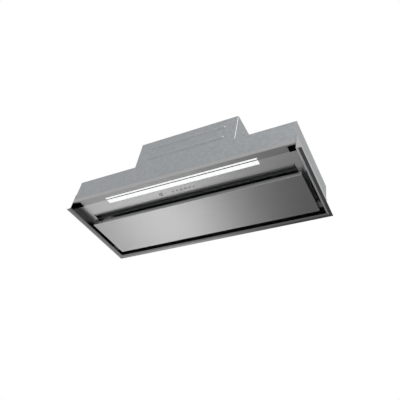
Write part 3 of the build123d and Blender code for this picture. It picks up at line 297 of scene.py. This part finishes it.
def circuit_board(name):
    """Glass-fibre board under green solder mask: gloss lacquer over paler copper tracks."""
    tracks_per_metre = 180.0
    finish, shader, place = start_finish(name, "#1F5A34", 0.0, 0.3)
    tracks = add_node(finish, "ShaderNodeTexVoronoi",
                      {"feature": "F1", "distance": "MANHATTAN", "Scale": tracks_per_metre},
                      {"Vector": place})
    edge = ramp(finish, tracks.outputs["Distance"], 0.0, 1.0)
    feed(finish, shader, Base_Color=tint(finish, edge, "#17462A", "#2F7A48"))
    return finish


dress(lit_opal("opal_acrylic_lit", "#FFFFFF", "#F2F4F6", 0.8), "light_lens")
dress(extruded_aluminium("extruded_aluminium", "#8F9194", "#B9BBBD"), "light_channel")
grey_moulded = moulded("grey_moulded_abs", "#4E5154", "#5A5D60", 0.5, 0.0006)
dress(grey_moulded, "light_end_caps")
board_lacquer = circuit_board("green_board_lacquer")
dress(board_lacquer, "light_board")

# Painted shade line: a thin strip of black foam rubber, stuck on the steel between the light's two
# bands, which stands for the dark shade at the joint of rail and control sheet.
wide_band = 0.018
shade_strip_overhang = 0.0004
shade_strip_thickness = 0.0003
shade_strip_edge = 0.0001
shade_strip_front = band_rear - shade_strip_overhang
shade_strip_rear = lens_high.y - lens_lap - wide_band + shade_strip_overhang
shade_strip_low = (band_left, shade_strip_front, steel_underside - shade_strip_thickness)
shade_strip_high = (band_right, shade_strip_rear, steel_underside)


def vulcanised_rubber(name):
    """Pressed black rubber: quite matt, with a dusty bloom in places."""
    blooms_per_metre = 220.0
    finish, shader, place = start_finish(name, "#1B1B1B", 0.0, 0.8)
    bloom = noise(finish, place, blooms_per_metre, 4.0)
    feed(finish, shader, Base_Color=tint(finish, bloom, "#141414", "#262625"),
         Roughness=ramp(finish, bloom, 0.72, 0.9))
    return finish


soft_rubber = vulcanised_rubber("black_rubber")
# This strip is painted shade: a dark piece put where the joint between the light's bands lies in
# shade.
strip_mesh = bmesh.new()
bmesh.ops.create_cube(strip_mesh, size=1.0, matrix=cuboid(shade_strip_low, shade_strip_high))
under = [edge for edge in strip_mesh.edges if all(v.co.z < steel_underside - tiny for v in edge.verts)]
bmesh.ops.bevel(strip_mesh, geom=under, offset=shade_strip_edge, affect="EDGES", segments=2, profile=0.5,
                material=-1)
make_piece("painted_shade_strip", strip_mesh, soft_rubber, "hood", "rubber")

# Controls: a moulded black housing over the sheet holds the board with its switches.
# Seven round caps, moulded and plated in dark chrome, reach through the sheet and are
# held by a rim. Each has a dished face with a turned ring, and a broken edge.
cap_rim = 0.0015
rim_thickness = 0.0012
dish_share = 0.05
ring_share = 0.62
ring_half = 0.0003
ring_depth = 0.00018
edge_width = 0.00042
edge_height = 0.00035
edge_middle = (0.00018, 0.00007)
dress(moulded("black_moulded_abs", "#131314", "#1C1C1D", 0.48, 0.0006), "control_housing")
dress(board_lacquer, "control_board")


def dark_chrome(name):
    """Dark chrome plate over a blasted moulding: soft, and a shade deeper than the steel."""
    blast_grain = 0.0004
    finish, shader, place = start_finish(name, "#9C9C9C", 1.0, 0.24)
    grain = noise(finish, place, 1 / blast_grain, 2.0)
    feed(finish, shader, Base_Color=tint(finish, grain, "#929292", "#A6A6A6"),
         Roughness=ramp(finish, grain, 0.2, 0.3), Normal=relief(finish, grain, 0.15, 0.00002))
    return finish


def turn_profile(shape, profile, centre, steps):
    """Spins a profile of (radius, height) points about a vertical axis into a closed solid."""
    points = [shape.verts.new((centre.x + r, centre.y, z)) for r, z in profile]
    edges = [shape.edges.new(pair) for pair in zip(points, points[1:])]
    bmesh.ops.spin(shape, geom=points + edges, cent=(centre.x, centre.y, 0.0), axis=(0, 0, 1),
                   angle=2 * pi, steps=steps, use_merge=True)


cap_chrome = dark_chrome("dark_chrome_caps")
rim_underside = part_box("control_housing")[0].z
rim_top = rim_underside + rim_thickness
for node in ("main_button", "light_button", "speed_one_button", "speed_two_button",
             "speed_three_button", "boost_button", "timer_button"):
    low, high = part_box(node)
    radius = (high.x - low.x) / 2 - cap_rim
    dish = dish_share * radius
    ring = ring_share * radius
    profile = [(0.0, low.z + dish), (0.35 * radius, low.z + 0.9 * dish),
               (ring - ring_half, low.z + 0.6 * dish), (ring, low.z + 0.6 * dish + ring_depth),
               (ring + ring_half, low.z + 0.55 * dish), (0.88 * radius, low.z + 0.1 * dish),
               (radius - edge_width, low.z), (radius - edge_middle[0], low.z + edge_middle[1]),
               (radius, low.z + edge_height), (radius, rim_underside),
               (radius + cap_rim, rim_underside), (radius + cap_rim, rim_top),
               (radius, rim_top), (radius, high.z), (0.0, high.z)]
    cap = bmesh.new()
    turn_profile(cap, profile, (low + high) / 2, 48)
    make_piece(node + "_cap", cap, cap_chrome, node + "_body", "button_metal", node)

# Suction panel: a stainless skin, 1 mm, ground from side to side and folded up round
# its edges, over a liner of the same sheet that is spot-welded into it. It hangs on two
# plated ears and pins, and two nickel-plated magnets hold it up in front.
# Painted shade: the panel's skin and liner are the same ground stainless as the control sheet,
# with their colour set a little darker.
dress(brushed_steel("ground_stainless_panel_painted_shade", "#AAAAAA", "#B6B6B6", 0.195, 0.245),
      "panel_skin", "panel_liner")


def plated(name, dark, light, smooth, dull, mottle):
    """Plated steel: a thin bright coat whose tone drifts over patches of a size in metres."""
    scuffs_per_metre = 900.0
    finish, shader, place = start_finish(name, light, 1.0, smooth)
    drift = noise(finish, place, 1 / mottle, 4.0)
    scuffs = noise(finish, place, scuffs_per_metre, 2.0)
    feed(finish, shader, Base_Color=tint(finish, drift, dark, light),
         Roughness=ramp(finish, drift, smooth, dull), Normal=relief(finish, scuffs, 0.12, 0.00004))
    return finish


def ground_steel(name):
    """Cylindrically ground steel: bright, with rings round the X axis.

    The rings are drawn 0.5 mm apart, so that they show.
    """
    ring_pitch = 0.0005
    ring_length = 0.025
    finish, shader, place = start_finish(name, "#BFC0C1", 1.0, 0.18)
    rings = noise(finish, stretched(finish, place, (1 / ring_pitch, 1 / ring_length,
                                                    1 / ring_length)), 1.0, 2.0)
    feed(finish, shader, Base_Color=tint(finish, rings, "#9FA0A1", "#C6C7C8"),
         Roughness=ramp(finish, rings, 0.14, 0.26))
    return finish


dress(plated("nickel_plated_steel", "#7A7977", "#8E8D8B", 0.34, 0.46, 0.02),
      "panel_ear_left", "panel_ear_right", "hinge_bracket_left", "hinge_bracket_right",
      "panel_magnet_left", "panel_magnet_right")
bright_pin = ground_steel("ground_steel_pins")
dress(bright_pin, "hinge_pin_left", "hinge_pin_right")

# Grease filters: a roll-formed aluminium channel frame round layers of expanded
# aluminium mesh that are pressed into waves, washed dull by the dishwasher. A moulded
# latch with a finger recess slides in each front bar.
waves = 10
columns_per_wave = 4
row_pitch = 0.0045
strand = 0.0005


def washed_aluminium(name, dark, light):
    """Aluminium sheet after many washes: matt oxide bloom in soft patches."""
    blooms_per_metre = 28.0
    finish, shader, place = start_finish(name, light, 1.0, 0.4)
    bloom = add_node(finish, "ShaderNodeTexNoise",
                     {"Scale": blooms_per_metre, "Detail": 5.0, "Roughness": 0.65},
                     {"Vector": place}).outputs["Fac"]
    feed(finish, shader, Base_Color=tint(finish, bloom, dark, light),
         Roughness=ramp(finish, bloom, 0.3, 0.55), Normal=relief(finish, bloom, 0.1, 0.0001))
    return finish


filter_metal = washed_aluminium("washed_aluminium_frame", "#9C9D9D", "#C3C4C4")
mesh_metal = washed_aluminium("washed_aluminium_mesh", "#8E8F8F", "#BCBDBD")
for number in ("1", "2", "3"):
    dress(filter_metal, "filter_frame_" + number)
    dress(grey_moulded, "filter_latch_" + number)
    low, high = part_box("filter_mesh_" + number)
    level = (low.z + high.z) / 2
    mesh_sheet = bmesh.new()
    bmesh.ops.create_grid(mesh_sheet, x_segments=waves * columns_per_wave,
                          y_segments=round((high.y - low.y) / row_pitch), size=0.5,
                          matrix=cuboid((low.x, low.y, level), (high.x, high.y, level)))
    slits = [edge for edge in mesh_sheet.edges if not edge.is_boundary]
    bmesh.ops.poke(mesh_sheet, faces=mesh_sheet.faces[:])
    bmesh.ops.dissolve_edges(mesh_sheet, edges=slits, use_verts=False)
    crest = (high.z - low.z) / 2 - strand
    for vert in mesh_sheet.verts:
        phase = (vert.co.x - low.x) / (high.x - low.x) * waves % 1.0
        vert.co.z += crest * (abs(phase - 0.5) * 4 - 1)
    bmesh.ops.wireframe(mesh_sheet, faces=mesh_sheet.faces[:], thickness=strand,
                        use_replace=True, use_boundary=True, use_even_offset=True)
    make_piece("expanded_mesh_" + number, mesh_sheet, mesh_metal, "hood", "filter_aluminium",
               "filter_mesh_" + number)

# Canopy shell and its inner walls: hot-dip galvanised steel, 0.8 mm, folded and riveted
# into the stainless frame. The zinc froze in broad crystals, which are left bare.
zinc_thickness = 0.0008


def galvanised(name):
    """Hot-dip zinc: frost-like crystals 7 mm across, each a slightly other grey and gloss."""
    crystal = 0.007
    warp_share = 0.006
    warps_per_metre = 60.0
    finish, shader, place = start_finish(name, "#9A9D9F", 1.0, 0.46)
    warp = add_node(finish, "ShaderNodeTexNoise", {"Scale": warps_per_metre, "Detail": 2.0},
                    {"Vector": place})
    bent = add_node(finish, "ShaderNodeMix", {"data_type": "VECTOR", 0: warp_share},
                    {4: place, 5: warp.outputs["Color"]})
    spangle = add_node(finish, "ShaderNodeTexVoronoi", {"feature": "F1", "Scale": 1 / crystal},
                       {"Vector": bent.outputs[1]})
    tone = add_node(finish, "ShaderNodeSeparateXYZ", None,
                    {"Vector": spangle.outputs["Color"]}).outputs["X"]
    feed(finish, shader, Base_Color=tint(finish, tone, "#939698", "#A1A4A6"),
         Roughness=ramp(finish, tone, 0.44, 0.52),
         Normal=relief(finish, spangle.outputs["Distance"], 0.04, 0.0001))
    return finish


zinc_sheet = galvanised("hot_dip_galvanised_sheet")
dress(zinc_sheet, "canopy_shell", "front_bulkhead", "rear_filter_rail")

# Motor box: a second galvanised casing, 0.8 mm, flanged at its foot and screwed on the
# canopy. Two long beads are pressed out of each wall, so that the sheet doesn't drum.
bead_rise = 0.0024
bead_half_width = 0.010
bead_depth = 0.007
bead_margin = 0.045
bead_levels = (0.35, 0.72)
box_flange = 0.010
box_low, box_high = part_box("motor_box")
box_middle = (box_low + box_high) / 2
wall_x = (box_high.x - box_low.x) / 2 - box_flange
wall_y = (box_high.y - box_low.y) / 2 - box_flange


def press_bead(shape, middle, length, turn):
    """Adds a round-ended bead: a flattened ball, drawn out, cut at the sheet and turned."""
    ball = bmesh.new()
    bmesh.ops.create_uvsphere(ball, u_segments=32, v_segments=16, radius=bead_half_width,
                              matrix=Matrix.Rotation(pi / 2, 4, "Y"))
    bmesh.ops.scale(ball, verts=ball.verts, vec=(1, bead_depth / bead_half_width, 1))
    bmesh.ops.translate(ball, verts=ball.verts, vec=(0, bead_depth - bead_rise, 0))
    for vert in ball.verts:
        if abs(vert.co.x) > 0.1 * tiny:
            vert.co.x += (length / 2 - bead_half_width) * (1 if vert.co.x > 0 else -1)
    rim = edges_of(cut(ball, (0, zinc_thickness / 2, 0), (0, 1, 0), clear_outer=True))
    bmesh.ops.contextual_create(ball, geom=rim)
    bead = bpy.data.meshes.new("bead")
    ball.to_mesh(bead)
    ball.free()
    bead.transform(Matrix.Translation(middle) @ Matrix.Rotation(turn, 4, "Z"))
    shape.from_mesh(bead)
    bpy.data.meshes.remove(bead)


beads = bmesh.new()
for share in bead_levels:
    level = box_low.z + share * (box_high.z - box_low.z)
    for side in (-1, 1):
        press_bead(beads, (box_middle.x, box_middle.y + side * wall_y, level),
                   2 * (wall_x - bead_margin), 0 if side < 0 else pi)
        press_bead(beads, (box_middle.x + side * wall_x, box_middle.y, level),
                   2 * (wall_y - bead_margin), side * pi / 2)
dress(zinc_sheet, "motor_box")
make_piece("motor_box_beads", beads, zinc_sheet, "hood", "galvanised_steel")

# Blower: a two-part scroll moulded in grey plastic round a black moulded wheel, which has
# two inlets and forward-curved blades. The motor is painted steel, clamped in a
# zinc-plated bracket whose three legs stand on black rubber bushes.


def baked_paint(name, dark, light):
    """Stoved enamel over steel stampings: a soft gloss with orange peel about 2 mm across."""
    peel_size = 0.002
    finish, shader, place = start_finish(name, light, 0.0, 0.34)
    peel = noise(finish, place, 1 / peel_size, 1.0)
    feed(finish, shader, Base_Color=tint(finish, peel, dark, light),
         Roughness=ramp(finish, peel, 0.28, 0.42), Normal=relief(finish, peel, 0.2, 0.0001))
    return finish


dress(moulded("grey_moulded_polypropylene", "#5B5E61", "#686B6E", 0.55, 0.0009),
      "scroll_left", "scroll_right")
dress(moulded("black_glass_filled_nylon", "#1E1F20", "#292A2B", 0.5, 0.0007), "impeller")
dress(baked_paint("stoved_grey_enamel", "#34373A", "#404447"), "motor")
zinc_plate = plated("zinc_plated_steel", "#9BA0A4", "#BFC3C6", 0.26, 0.42, 0.012)
dress(zinc_plate, "motor_bracket")
dress(soft_rubber, "motor_bushes")
dress(bright_pin, "motor_shaft")

# Outlet: a moulded black collar on the motor box with a spigot for the duct. Two
# moulded half flaps swing on bright wire pins inside it.
dress(moulded("black_moulded_collar", "#161617", "#202021", 0.5, 0.0008),
      "outlet_collar", "flap_front", "flap_rear")
dress(bright_pin, "flap_pins")

# Electrical parts: a moulded terminal box with its lid, power board and cable gland, and
# a capacitor in a moulded can, held to the canopy by a plated strap.
dress(moulded("black_terminal_plastic", "#1A1B1C", "#242526", 0.46, 0.0007),
      "terminal_base", "terminal_lid")
dress(moulded("black_nylon_gland", "#101011", "#19191A", 0.4, 0.0005), "cable_gland")
dress(moulded("grey_capacitor_can", "#BFC2C2", "#CDD0D0", 0.42, 0.0006), "capacitor")
dress(board_lacquer, "power_board")
dress(zinc_plate, "capacitor_clip")

# Screws and rivets: zinc-plated pan-head sheet screws with a cross recess hold the motor
# box, the collar and the terminal lid. Aluminium blind rivets join canopy and frame.
head_radius = 0.004
head_height = 0.0024
head_side_share = 0.65
head_crown_share = 0.8
recess_arm = 0.0023
recess_half = 0.0005
recess_depth = 0.0013
recess_taper = 0.8
shank_radius = 0.002
shank_length = 0.008
box_screw_inset = 0.055
collar_screw_inset = 0.007
collar_plate = 0.0025
lid_screw_inset = 0.0065
collar_low, collar_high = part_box("outlet_collar")
lid_low, lid_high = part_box("terminal_lid")


def pan_screw():
    """Makes a pan-head screw that stands on the origin, with a cross recess in its head."""
    levels = (-head_radius, -recess_arm, -recess_half, recess_half, recess_arm, head_radius)
    last = len(levels) - 1
    spacing = 2 * head_radius / last
    screw = bmesh.new()
    bmesh.ops.create_grid(screw, x_segments=last, y_segments=last, size=head_radius)
    for vert in screw.verts:
        cell = [round((c + head_radius) / spacing) for c in vert.co.xy]
        vert.co.xy = [levels[c] for c in cell]
        if 0 in cell or last in cell:
            vert.co.xy = vert.co.xy.normalized() * head_radius * head_crown_share
    cross = [face for face in screw.faces
             if min(abs(c) for c in face.calc_center_median().xy) < recess_half
             and face.calc_center_median().xy.length < recess_arm]
    pit = bmesh.ops.extrude_face_region(screw, geom=cross)["geom"]
    bmesh.ops.delete(screw, geom=cross, context="FACES_ONLY")
    for vert in verts_of(pit):
        vert.co.xy *= recess_taper
        vert.co.z -= recess_depth
    bmesh.ops.translate(screw, verts=screw.verts, vec=(0, 0, head_height))
    steps = ((head_radius, head_side_share * head_height), (head_radius, 0.0), (shank_radius, 0.0),
             (shank_radius, -shank_length))
    rim = [edge for edge in screw.edges if edge.is_boundary]
    for reach, height in steps:
        ring = bmesh.ops.extrude_edge_only(screw, edges=rim)["geom"]
        for vert in verts_of(ring):
            vert.co.xy = vert.co.xy.normalized() * reach
            vert.co.z = height
        rim = [edge for edge in edges_of(ring) if edge.is_boundary]
    bmesh.ops.contextual_create(screw, geom=rim)
    return screw


box_edge_x = box_high.x - box_flange - box_screw_inset
seats = [Vector((x, y, box_low.z + zinc_thickness))
         for y in (box_low.y + box_flange / 2, box_high.y - box_flange / 2)
         for x in (-box_edge_x, 0.0, box_edge_x)]
for low, high, inset, top in (
        (collar_low, collar_high, collar_screw_inset, collar_low.z + collar_plate),
        (lid_low, lid_high, lid_screw_inset, lid_high.z)):
    seats += [Vector((x, y, top)) for x in (low.x + inset, high.x - inset)
              for y in (low.y + inset, high.y - inset)]
one_screw = pan_screw()
pattern = bpy.data.meshes.new("screw_pattern")
one_screw.to_mesh(pattern)
one_screw.free()
screws = bmesh.new()
for seat in seats:
    pattern.transform(Matrix.Translation(seat))
    screws.from_mesh(pattern)
    pattern.transform(Matrix.Translation(-seat))
bpy.data.meshes.remove(pattern)
make_piece("pan_head_screws", screws, zinc_plate, "hood", "zinc", "sheet_screws")
dress(extruded_aluminium("rivet_aluminium", "#A2A4A6", "#C4C6C8"), "frame_rivets")

# Studio: a plain pale floor 1.55 m below the hood, where a kitchen's would be. A glow painted in
# its material turns it white with distance like its surround, and leaves it grey round a shade
# centre behind the hood at the right, where only the lamps light it. The underside mirrors that
# painted shade at the right and a soft lamp's light at the left, and a large soft lamp lights the
# casing.
floor_level = -1.55
floor_half = 30.0
shade_centre = (1.6, 2.25, 0.0)
white_reach = 10.0
fill_strength = 0.07
white_stops = ((0.0, 0.0), (2.2, 0.0), (4.0, 0.6), (8.0, 0.85))


def rays_that_show(surface):
    """Is 1 for rays from the camera, a metal or a glass, which show the surface they meet."""
    rays = add_node(surface, "ShaderNodeLightPath").outputs
    direct = add_node(surface, "ShaderNodeMath", {"operation": "MAXIMUM"},
                      {0: rays["Is Camera Ray"], 1: rays["Is Transmission Ray"]})
    either = add_node(surface, "ShaderNodeMath", {"operation": "MAXIMUM"},
                      {0: direct.outputs["Value"], 1: rays["Is Glossy Ray"]})
    return either.outputs["Value"]


paper, paper_shader, paper_place = start_finish("pale_studio_floor", "#E9E9E9", 0.0, 0.9)
# Painted light: the floor's glow grows with distance from the shade centre, along the ramp below.
from_shade = add_node(paper, "ShaderNodeVectorMath", {"operation": "DISTANCE", 1: shade_centre},
                      {0: paper_place})
reach = add_node(paper, "ShaderNodeMath", {"operation": "DIVIDE", 1: white_reach},
                 {0: from_shade.outputs["Value"]})
whiten = add_node(paper, "ShaderNodeValToRGB", None, {"Fac": reach.outputs["Value"]})
whiten.color_ramp.interpolation = "EASE"
for stop, (distance, glow) in enumerate(white_stops):
    if stop > 1:
        whiten.color_ramp.elements.new(distance / white_reach)
    whiten.color_ramp.elements[stop].position = distance / white_reach
    whiten.color_ramp.elements[stop].color = (glow, glow, glow, 1.0)
shown = add_node(paper, "ShaderNodeMath", {"operation": "MULTIPLY"},
                 {0: whiten.outputs["Color"], 1: rays_that_show(paper)})
paper_shader.inputs["Emission Color"].default_value = (1.0, 1.0, 1.0, 1.0)
feed(paper, paper_shader, Emission_Strength=shown.outputs["Value"])
floor_mesh = bmesh.new()
bmesh.ops.create_grid(floor_mesh, x_segments=4, y_segments=4, size=floor_half,
                      matrix=Matrix.Translation((0, 0, floor_level)))
ground = bpy.data.meshes.new("studio_floor")
floor_mesh.to_mesh(ground)
floor_mesh.free()
ground.materials.append(paper)
studio_floor = bpy.data.objects.new("studio_floor", ground)
bpy.context.scene.collection.objects.link(studio_floor)

world = bpy.data.worlds.new("white_surround")
bpy.context.scene.world = world
world.use_nodes = True
fill = world.node_tree.nodes["Background"]
fill.inputs["Color"].default_value = (1.0, 1.0, 1.0, 1.0)
fill.inputs["Strength"].default_value = fill_strength
white = add_node(world, "ShaderNodeBackground", {"Color": (1.0, 1.0, 1.0, 1.0), "Strength": 1.0})
surround = add_node(world, "ShaderNodeMixShader", None,
                    {0: rays_that_show(world), 1: fill.outputs["Background"],
                     2: white.outputs["Background"]})
world.node_tree.links.new(surround.outputs["Shader"],
                          world.node_tree.nodes["World Output"].inputs["Surface"])


def soft_lamp(name, place, target, size, power, spread):
    """Hangs a square soft lamp that faces its target and lights a spread in degrees."""
    light = bpy.data.lights.new(name, "AREA")
    light.size = size
    light.energy = power
    light.spread = radians(spread)
    lamp = bpy.data.objects.new(name, light)
    lamp.location = place
    lamp.rotation_euler = (Vector(target) - Vector(place)).to_track_quat("-Z", "Y").to_euler()
    bpy.context.scene.collection.objects.link(lamp)


soft_lamp("floor_lamp", place=(-1.5, 1.6, -0.3), target=(-1.4, 1.6, floor_level), size=0.8,
          power=4.0, spread=66.0)
soft_lamp("casing_lamp", place=(1.6, -1.6, 2.3), target=(0.0, 0.0, 0.1), size=1.4,
          power=42.0, spread=160.0)

# Camera: below the hood's front right corner, looking up at the underside.
camera_data = bpy.data.cameras.new("camera")
camera_data.sensor_width = 36.0
camera_data.lens = 41.653
camera_data.shift_x = -0.125
camera_data.shift_y = 0.0625
camera = bpy.data.objects.new("camera", camera_data)
camera.location = (0.7695, -1.025, -1.0276)
camera.rotation_euler = (radians(128.4495), radians(-5.1114), radians(24.1035))
bpy.context.scene.collection.objects.link(camera)
bpy.context.scene.camera = camera
bpy.context.scene.view_settings.view_transform = "Standard"
